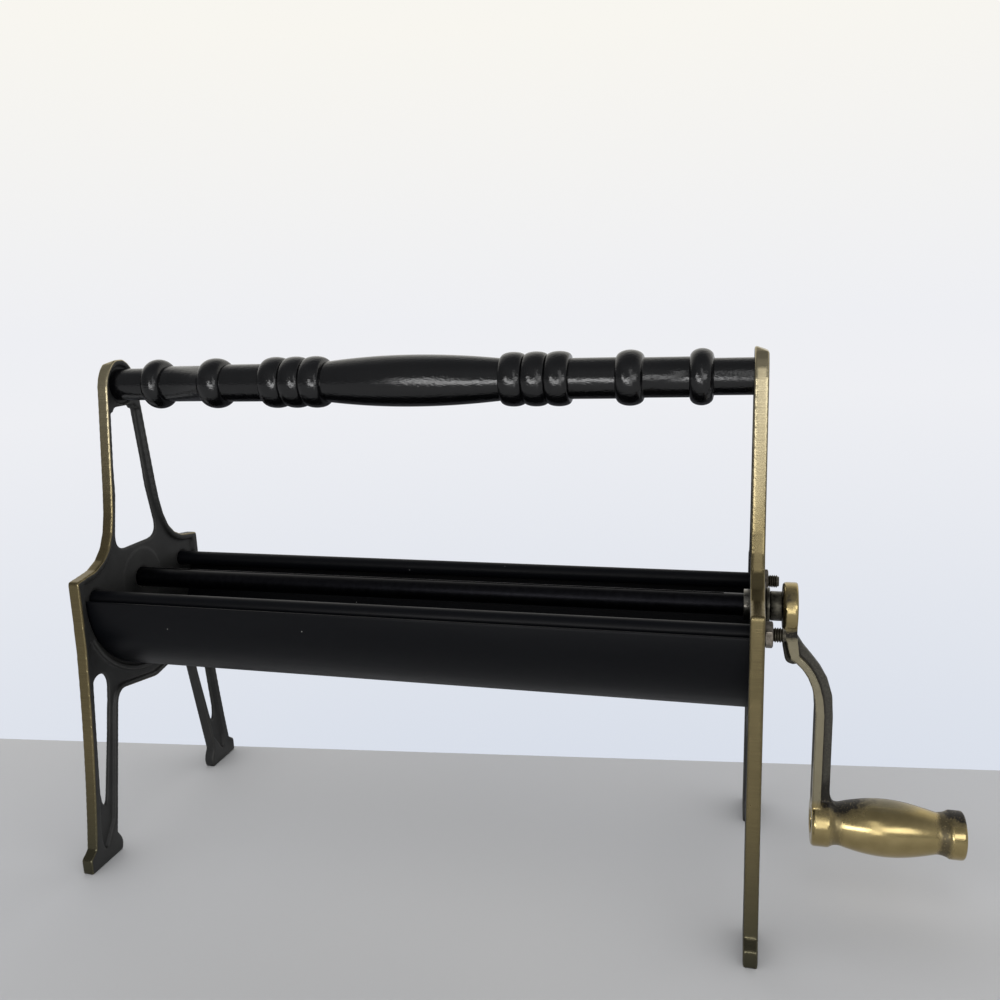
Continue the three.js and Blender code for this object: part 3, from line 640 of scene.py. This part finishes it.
# %% Inserts and countersunk screws
def screw_mesh(node, outward):
    """A countersunk screw along X whose head faces outward, which is 1 or -1."""
    low, high, centre, head = measured(node)
    reach = (high.x - low.x) / 2
    shank = head * 0.56
    # The head is a cone of about 90 degrees under a short rim.
    head_depth = head - shank + 0.6 * MM
    side = [(-reach, 0), (-reach, shank - 0.8 * MM), (-reach + 0.8 * MM, shank - 0.1 * MM)]
    thread_end = reach - head_depth - 3 * MM
    side += threads(-reach + 0.8 * MM, thread_end, shank)
    side += [(thread_end + 1.2 * MM, shank), (reach - head_depth, shank),
             (reach - 0.4 * MM, head), (reach, head), (reach, 0)]
    profile = [(centre.x + outward * x, r) for x, r in side]
    return lathe(profile, centre, steps=48)


def socket_cutter(node, outward, across, depth):
    """A hexagonal prism that sinks a socket into a screw's head."""
    low, high, centre, _ = measured(node)
    face = high.x if outward > 0 else low.x
    corner = across / 2 / cos(pi / 6)
    bm = bmesh.new()
    bmesh.ops.create_cone(bm, cap_ends=True, segments=6, radius1=corner, radius2=corner,
                          depth=2 * depth)
    bmesh.ops.rotate(bm, cent=(0, 0, 0), matrix=Matrix.Rotation(pi / 2, 3, "Y"), verts=bm.verts)
    bmesh.ops.translate(bm, vec=(face, centre.y, centre.z), verts=bm.verts)
    return bm


def make_screw(name, node, outward, across, depth):
    """A finished countersunk screw, whose hexagon socket is `across` wide and `depth` deep."""
    screw = object_from(name, screw_mesh(node, outward))
    carve(screw, socket_cutter(node, outward, across, depth))
    return finish_mesh(screw, node, nut_steel, crisp=25)


def insert_mesh(node):
    """A threaded insert: a brass tube with coarse rings outside that bite into the wood."""
    low, high, centre, outside = measured(node)
    bore, lead = 3.3 * MM, 0.6 * MM
    ridges = threads(low.x + lead, high.x - lead, outside)
    profile = [(low.x, bore), (low.x, outside - THREAD_DEPTH), *ridges,
               (high.x, outside - THREAD_DEPTH), (high.x, bore)]
    return lathe(profile, centre, steps=48, ring=True)


insert_brass = steel_material("machined_brass", "#c2a566", "#a18545", 0.32, 3000.0)
for side, outward in (("left", -1), ("right", 1)):
    make_screw("countersunk_screw_" + side, "handle_screw_" + side, outward, 4.0 * MM, 1.8 * MM)
    node = "handle_insert_" + side
    finish_mesh(object_from("threaded_insert_" + side, insert_mesh(node)), node, insert_brass,
                crisp=25)

# %% [markdown]
# ## The spindle, its bush and its sleeve
# The spindle is one round bar, sawn lengthwise into a fork that grips the paper, and squared at
# the crank's end. A saw cut is a thin box taken out of the bar, so that is how it is made.

# %% The forked spindle
def bar_block(low_x, high_x, centre, half_y, half_z):
    """A box along X, given as a bmesh."""
    bm = bmesh.new()
    bmesh.ops.create_cube(bm, size=1)
    bmesh.ops.scale(bm, vec=(high_x - low_x, 2 * half_y, 2 * half_z), verts=bm.verts)
    bmesh.ops.translate(bm, vec=((low_x + high_x) / 2, centre.y, centre.z), verts=bm.verts)
    return bm


def spindle():
    """A round bar, slotted from its left end and squared where the crank holds it."""
    low, high, centre, radius = measured("winding_spindle")
    slot_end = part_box("spindle_bush")[0].x - 11.2 * MM
    square_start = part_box("crank")[0].x
    half_slot, half_square, spare = 1.0 * MM, 4.6 * MM, 1 * MM
    bar = lathe([(low.x, 0), (low.x, radius), (high.x, radius), (high.x, 0)], centre,
                rounding=0.5 * MM)
    bar = object_from("forked_spindle", bar)
    carve(bar, bar_block(low.x - spare, slot_end, centre, half_slot, 2 * radius))
    for side in (-1, 1):
        for across in (Vector((0, 1, 0)), Vector((0, 0, 1))):
            beside = centre + across * (side * (half_square + radius))
            carve(bar, bar_block(square_start, high.x + spare, beside, radius, radius))
    return bar


# Drawn bar has coarser rings, about 1.4 mm apart.
spindle_black = steel_material("blackened_steel_bar", "#1e1e21", "#17171a", 0.4, 700.0)
finish_mesh(spindle(), "winding_spindle", spindle_black)

# %% Bush, ring and sleeve
SPINDLE_BORE = 6.8 * MM


def ring_mesh(node, bore):
    """A plain turned ring that fills a node's box round the given bore."""
    low, high, centre, outside = measured(node)
    profile = [(low.x, bore), (low.x, outside), (high.x, outside), (high.x, bore)]
    return lathe(profile, centre, rounding=0.4 * MM, ring=True)


def bush_mesh():
    low, high, centre, flange = measured("spindle_bush")
    body = 8.1 * MM
    seat = low.x + 4.3 * MM
    profile = [(low.x, SPINDLE_BORE), (low.x, flange), (seat, flange), (seat, body),
               (high.x, body), (high.x, SPINDLE_BORE)]
    return lathe(profile, centre, rounding=0.3 * MM, ring=True)


finish_mesh(object_from("flanged_bush", bush_mesh()), "spindle_bush", bush_steel)
finish_mesh(object_from("bush_collar", ring_mesh("bush_ring", 8.4 * MM)), "bush_ring",
            sleeve_steel)
finish_mesh(object_from("spacer_sleeve", ring_mesh("drive_sleeve", SPINDLE_BORE)),
            "drive_sleeve", sleeve_steel)

# %% [markdown]
# ## Rubbed brass: the crank
# The crank is a single brass casting. Its grip, boss and hub were turned and handling has
# polished them to warm gold. The arm keeps a dull tan on its edges and the dark, sandy skin on
# its rib, its hollows are painted darker as painted shade, and a black patina spreads from the
# neck over the top of the grip.

# %% Crank material
def crank_material():
    material, tree, shader = new_material("rubbed_cast_brass")
    where = add(tree, "ShaderNodeTexCoord").outputs["Object"]
    point = add(tree, "ShaderNodeNewGeometry").outputs["Pointiness"]
    low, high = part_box("crank")
    axes = add(tree, "ShaderNodeSeparateXYZ", {0: where}).outputs
    # Worn patches about 9 mm across, and the sand's grain at about 0.9 mm.
    patches = add(tree, "ShaderNodeTexNoise", {"Vector": where, "Scale": 110.0, "Detail": 6.0,
                                               "Roughness": 0.65}).outputs["Fac"]
    grain = add(tree, "ShaderNodeTexNoise", {"Vector": where, "Scale": 1100.0,
                                             "Detail": 3.0}).outputs["Fac"]
    # The arm lies between the hub and the boss, and its rib inside about 5 mm of the middle.
    below_hub, above_boss = (
        add(tree, "ShaderNodeMapRange", {"Value": axes["Z"], "From Min": start,
                                         "From Max": end}).outputs[0]
        for start, end in ((high.z - 24 * MM, high.z - 29 * MM),
                           (low.z + 30 * MM, low.z + 34 * MM)))
    arm = add(tree, "ShaderNodeMath", {0: below_hub, 1: above_boss},
              operation="MULTIPLY").outputs[0]
    aside = add(tree, "ShaderNodeMath", {0: axes["Y"]}, operation="ABSOLUTE").outputs[0]
    inside = add(tree, "ShaderNodeMapRange", {"Value": aside, "From Min": 5.5 * MM,
                                              "From Max": 4.0 * MM}).outputs[0]
    rib = add(tree, "ShaderNodeMath", {0: arm, 1: inside}, operation="MULTIPLY").outputs[0]
    # Hollows, found by Pointiness, are darker: painted shade, laid into the dark skin layer.
    hollow_shade = add(tree, "ShaderNodeMapRange", {"Value": point, "From Min": 0.492,
                                              "From Max": 0.455}).outputs[0]
    # Patina: a patch 16 mm in reach at the top of the neck, and small ones on the collar and
    # the hub.
    skin = hollow_shade
    for spot, reach in (((low.x + 36 * MM, 6 * MM, low.z + 33 * MM), 16 * MM),
                        ((high.x - 4 * MM, 0, low.z + 30 * MM), 8 * MM),
                        ((low.x + 4 * MM, -11.6 * MM, high.z - 6.2 * MM), 3 * MM)):
        away = add(tree, "ShaderNodeVectorMath", {0: where, 1: spot}, operation="DISTANCE")
        ragged = add(tree, "ShaderNodeMath", {0: patches, 1: -20 * MM,
                                              2: away.outputs["Value"]},
                     operation="MULTIPLY_ADD").outputs[0]
        patina = add(tree, "ShaderNodeMapRange", {"Value": ragged, "From Min": reach - 6 * MM,
                                                  "From Max": reach - 13 * MM}).outputs[0]
        skin = add(tree, "ShaderNodeMath", {0: skin, 1: patina}, operation="MAXIMUM").outputs[0]
    # Dirt: rings round both necks of the grip, which stop at the top of its boss, and a dark
    # ring in the corner under the hub, which is dirt and painted shade where the hub overhangs.
    beside_boss = add(tree, "ShaderNodeMath", {0: 1.0, 1: above_boss},
                      operation="SUBTRACT").outputs[0]
    for axis, place, share, extent in (("X", low.x + 33.5 * MM, 0.5, beside_boss),
                                       ("X", high.x - 11.5 * MM, 0.8, beside_boss),
                                       ("Z", high.z - 27.5 * MM, 1.0, 1.0)):
        off = add(tree, "ShaderNodeMath", {0: axes[axis], 1: place},
                  operation="SUBTRACT").outputs[0]
        off = add(tree, "ShaderNodeMath", {0: off}, operation="ABSOLUTE").outputs[0]
        ragged = add(tree, "ShaderNodeMath", {0: patches, 1: -8 * MM, 2: off},
                     operation="MULTIPLY_ADD").outputs[0]
        dirt_and_shade = add(tree, "ShaderNodeMapRange", {"Value": ragged, "From Min": 0.5 * MM,
                                                "From Max": -2.5 * MM}).outputs[0]
        dirt_and_shade = add(tree, "ShaderNodeMath", {0: dirt_and_shade, 1: share}, operation="MULTIPLY").outputs[0]
        dirt_and_shade = add(tree, "ShaderNodeMath", {0: dirt_and_shade, 1: extent}, operation="MULTIPLY").outputs[0]
        skin = add(tree, "ShaderNodeMath", {0: skin, 1: dirt_and_shade}, operation="MAXIMUM").outputs[0]
    # Sand-sized specks where the dark skin has worn through.
    specks = add(tree, "ShaderNodeMapRange", {"Value": grain, "From Min": 0.62, "From Max": 0.7,
                                              "To Min": 1.0, "To Max": 0.45}).outputs[0]
    skin = add(tree, "ShaderNodeMath", {0: skin, 1: specks}, operation="MULTIPLY").outputs[0]
    gold, tan, sandy, dark = (
        add(tree, "ShaderNodeMix", {0: mottle, 6: colour(deep), 7: colour(light)},
            data_type="RGBA").outputs[2]
        for mottle, deep, light in ((patches, "#94845a", "#bba97a"),
                                    (patches, "#978f76", "#aaa289"),
                                    (grain, "#151412", "#5c594f"),
                                    (grain, "#100e0b", "#332e26")))
    surface = gold
    for share, layer in ((arm, tan), (rib, sandy), (skin, dark)):
        surface = add(tree, "ShaderNodeMix", {0: share, 6: surface, 7: layer},
                      data_type="RGBA").outputs[2]
    tree.links.new(surface, shader.inputs["Base Color"])
    dull = add(tree, "ShaderNodeMath", {0: skin, 1: rib}, operation="MAXIMUM").outputs[0]
    metal = add(tree, "ShaderNodeMapRange", {"Value": dull, "To Min": 1.0, "To Max": 0.5})
    tree.links.new(metal.outputs[0], shader.inputs["Metallic"])
    rough = add(tree, "ShaderNodeMapRange", {"Value": dull, "To Min": 0.13, "To Max": 0.45})
    rough = add(tree, "ShaderNodeMath", {0: patches, 1: 0.14, 2: rough.outputs[0]},
                operation="MULTIPLY_ADD").outputs[0]
    tree.links.new(rough, shader.inputs["Roughness"])
    bump = add(tree, "ShaderNodeBump", {"Height": grain, "Strength": 0.2, "Distance": 0.1 * MM})
    tree.links.new(bump.outputs[0], shader.inputs["Normal"])
    return material


crank_brass = crank_material()
print("material", crank_brass.name)

# %% [markdown]
# The grip, its end collars and the rim of the hub were turned after casting, so they must be
# truly round. Fine lathe shapes are laid over the CAD copy before it gets its skin, and the
# remesh joins them all into one casting.

# %% The crank
def grip_profile(low, high):
    """(x, radius) along the grip, from the back of its boss to the end of its collar."""
    boss, neck, end_neck, belly, collar = [r * MM for r in (14.3, 12.4, 11.6, 16.3, 13.7)]
    boss_end, collar_start = low + 10.9 * MM, high - 8.9 * MM
    start, finish = boss_end + 5 * MM, collar_start - 5.2 * MM
    swell = []
    for i in range(41):
        share = i / 40
        ends = neck + (end_neck - neck) * share
        swell.append((start + (finish - start) * share,
                      ends + (belly - ends) * sin(pi * share ** 0.9)))
    return [(low, 7 * MM), (low, boss - 1.2 * MM), (low + 1.2 * MM, boss),
            (boss_end - 1 * MM, boss), (boss_end, boss - 0.8 * MM),
            (boss_end + 2.5 * MM, neck), *swell, (collar_start - 1.6 * MM, end_neck + 0.6 * MM),
            (collar_start, collar - 0.8 * MM), (collar_start + 1 * MM, collar),
            (high - 1 * MM, collar), (high, collar - 1 * MM), (high, 0),
            (low + 55 * MM, 0), (low + 52 * MM, 7 * MM)]


def crank_mesh():
    low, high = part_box("crank")
    bm = cad_copy("crank")
    grip_axis = Vector((0, (low.y + high.y) / 2, low.z + 16.29 * MM))
    hub_axis = Vector((0, grip_axis.y, high.z - 14 * MM))
    boss_start = low.x + 19.6 * MM
    hub_end = low.x + 8.2 * MM
    rim, edge = 14 * MM, 1.2 * MM
    shapes = [lathe(grip_profile(boss_start, high.x), grip_axis, steps=128),
              lathe([(low.x, 9 * MM), (low.x, rim - edge), (low.x + edge, rim),
                     (hub_end - edge / 2, rim), (hub_end, rim - edge / 2), (hub_end, 9 * MM)],
                    hub_axis, steps=128, ring=True)]
    for shape in shapes:
        mesh = bpy.data.meshes.new("turned")
        shape.to_mesh(mesh)
        shape.free()
        bm.from_mesh(mesh)
        bpy.data.meshes.remove(mesh)
    return bm


casting = cast("cast_crank", crank_mesh(), grain=0.5, passes=9, keep=0.85)
finish_mesh(casting, "crank", crank_brass, crisp=80)
make_screw("countersunk_screw_crank", "crank_screw", 1, 3.0 * MM, 1.6 * MM)

# %% [markdown]
# ## Floor, light and camera
# The floor is a pale grey table top that ends just behind the feet, where a white wall seems
# to begin. A grid makes the table and one cut of the bisect operator gives it its back edge,
# which runs slightly askew. The wall is only the world's colour.

# %% The table top
def table_material():
    material, tree, shader = new_material("pale_matt_laminate", Roughness=0.7)
    where = add(tree, "ShaderNodeTexCoord").outputs["Object"]
    # The tone drifts slowly, over about 400 mm.
    tone = add(tree, "ShaderNodeTexNoise", {"Vector": where, "Scale": 2.5,
                                            "Detail": 2.0}).outputs["Fac"]
    grey = add(tree, "ShaderNodeMix", {0: tone, 6: colour("#babbbe"), 7: colour("#c2c1bf")},
               data_type="RGBA").outputs[2]
    tree.links.new(grey, shader.inputs["Base Color"])
    return material


back_edge, back_facing = (-0.052, 0.115, 0), (-0.121, 1, 0)
bm = bmesh.new()
bmesh.ops.create_grid(bm, x_segments=1, y_segments=1, size=8)
bmesh.ops.bisect_plane(bm, geom=bm.verts[:] + bm.edges[:] + bm.faces[:], plane_co=back_edge,
                       plane_no=back_facing, clear_outer=True)
table_top = object_from("table_top", bm)
table_top.data.materials.append(table_material())

# %% [markdown]
# Brass and lacquer show what is around them. Behind the roller is the white wall, which fades
# from a warm white above to a cool grey by the table, and in front is a dimmer room, dimmest
# to the left, with a grey ceiling and a darker floor below the table. The world gives camera
# rays the wall and gives reflections the wall or the room by their direction.
# Every other ray, which is what lights the scene, finds a band of daylight low down all round
# and little overhead: it reaches under the trough, so the table there stays pale. The band is
# as bright as makes the open table receive what an even white sky would give it.

# %% The room
def studio_world():
    world = bpy.data.worlds.new("studio")
    bpy.context.scene.world = world
    world.use_nodes = True
    tree = world.node_tree
    rays = add(tree, "ShaderNodeLightPath").outputs
    direction = add(tree, "ShaderNodeTexCoord").outputs["Generated"]
    axes = add(tree, "ShaderNodeSeparateXYZ", {0: direction}).outputs
    # Each of these goes from 0 to 1 as a direction turns from the first value to the second.
    high_up, low_down, behind, overhead, rightward, under = (
        add(tree, "ShaderNodeMapRange", {"Value": axes[axis], "From Min": first,
                                         "From Max": second}).outputs[0]
        for axis, first, second in (("Z", -0.02, 0.26), ("Z", -0.10, -0.46),
                                    ("Y", -0.05, 0.35), ("Z", 0.6, 0.95),
                                    ("X", -0.7, -0.1), ("Z", 0.05, -0.30)))
    wall = add(tree, "ShaderNodeMix", {0: high_up, 6: colour("#eeeff3"), 7: colour("#f8f6f0")},
               data_type="RGBA").outputs[2]
    wall = add(tree, "ShaderNodeMix", {0: low_down, 6: wall, 7: colour("#d9dfea")},
               data_type="RGBA").outputs[2]
    front = add(tree, "ShaderNodeMix", {0: rightward, 6: colour("#7b7c7e"), 7: colour("#a6a7a9")},
                data_type="RGBA").outputs[2]
    room = add(tree, "ShaderNodeMix", {0: behind, 6: front, 7: wall},
               data_type="RGBA").outputs[2]
    for share, tint in ((overhead, "#818285"), (under, "#55565a")):
        room = add(tree, "ShaderNodeMix", {0: share, 6: room, 7: colour(tint)},
                   data_type="RGBA").outputs[2]
    mirrored = add(tree, "ShaderNodeMath", {0: rays["Is Glossy Ray"],
                                            1: rays["Is Transmission Ray"]},
                   operation="MAXIMUM").outputs[0]
    band = add(tree, "ShaderNodeMapRange", {"Value": axes["Z"], "From Min": 0.45,
                                            "From Max": 0.85, "To Min": 1.9, "To Max": 0.12},
               interpolation_type="SMOOTHSTEP").outputs[0]
    daylight = add(tree, "ShaderNodeVectorMath", {0: colour("#fcfdff")[:3], "Scale": band},
                   operation="SCALE").outputs[0]
    plain = add(tree, "ShaderNodeMix", {0: mirrored, 6: daylight, 7: room},
                data_type="RGBA").outputs[2]
    seen = add(tree, "ShaderNodeMix", {0: rays["Is Camera Ray"], 6: plain, 7: wall},
               data_type="RGBA").outputs[2]
    tree.links.new(seen, tree.nodes["Background"].inputs["Color"])


studio_world()
print("world", bpy.context.scene.world.name)

# %% [markdown]
# Polished brass and lacquer need something bright to reflect, so white cards stand in front of
# the roller, seen only in reflections: a bright one for the line along the handle, a small one
# to the left for the glint on its swell, a low one for the crank's hub, an upper one for the
# edge of the frame and a wide one for the grip. A dim soft box overhead grounds the feet. Each
# is given by its place, its width and height in metres, and its brightness.

# %% Lamps
def soft_light(name, place, width, height, radiance):
    """A rectangular lamp that faces the roller; its power follows from its brightness."""
    lamp = bpy.data.lights.new(name, "AREA")
    lamp.shape = "RECTANGLE"
    lamp.size, lamp.size_y = width, height
    lamp.energy = radiance * pi * width * height
    light = bpy.data.objects.new(name, lamp)
    bpy.context.scene.collection.objects.link(light)
    light.location = place
    facing = Vector((0, 0, 0.2)) - Vector(place)
    light.rotation_euler = facing.to_track_quat("-Z", "Y").to_euler()
    light.visible_camera = False
    print(name, f"{lamp.energy:.2f} W")
    return light


for card in (soft_light("bright_white_card", (-0.04, -0.72, 0.21), 0.32, 0.18, 7.0),
             soft_light("small_white_card", (-0.257, -0.72, 0.33), 0.11, 0.26, 7.0),
             soft_light("low_white_card", (0.215, -0.72, 0.13), 0.11, 0.20, 2.7),
             soft_light("upper_white_card", (0.195, -0.72, 0.52), 0.13, 0.56, 1.4),
             soft_light("wide_white_card", (0.47, -0.72, 0.37), 0.42, 0.27, 2.9)):
    card.visible_diffuse = False
soft_box = soft_light("soft_box_overhead", (0.3, -0.3, 2.4), 1.6, 1.6, 0.8)
soft_box.visible_glossy = False

# %% [markdown]
# The camera stands in front of the crank's end, above the handle, and looks down to the left.
# Its place is given from the middle of the frames, its turns in degrees and its lens in
# millimetres.

# %% The camera
frames_middle = (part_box("end_frame_left")[0].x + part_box("end_frame_right")[1].x) / 2
camera_data = bpy.data.cameras.new("camera")
camera_data.sensor_width = 36
camera_data.lens = 33.102
camera = bpy.data.objects.new("camera", camera_data)
bpy.context.scene.collection.objects.link(camera)
pan, tilt, roll = 14.857, -12.147, -2.026
turn = (Matrix.Rotation(radians(pan), 4, "Z") @ Matrix.Rotation(radians(90 + tilt), 4, "X")
        @ Matrix.Rotation(radians(roll), 4, "Z"))
place = (frames_middle + 0.192941, -0.525069, 0.348360)
camera.matrix_world = Matrix.Translation(place) @ turn
bpy.context.scene.camera = camera
bpy.context.scene.view_settings.view_transform = "Standard"
print("camera at", camera.location)
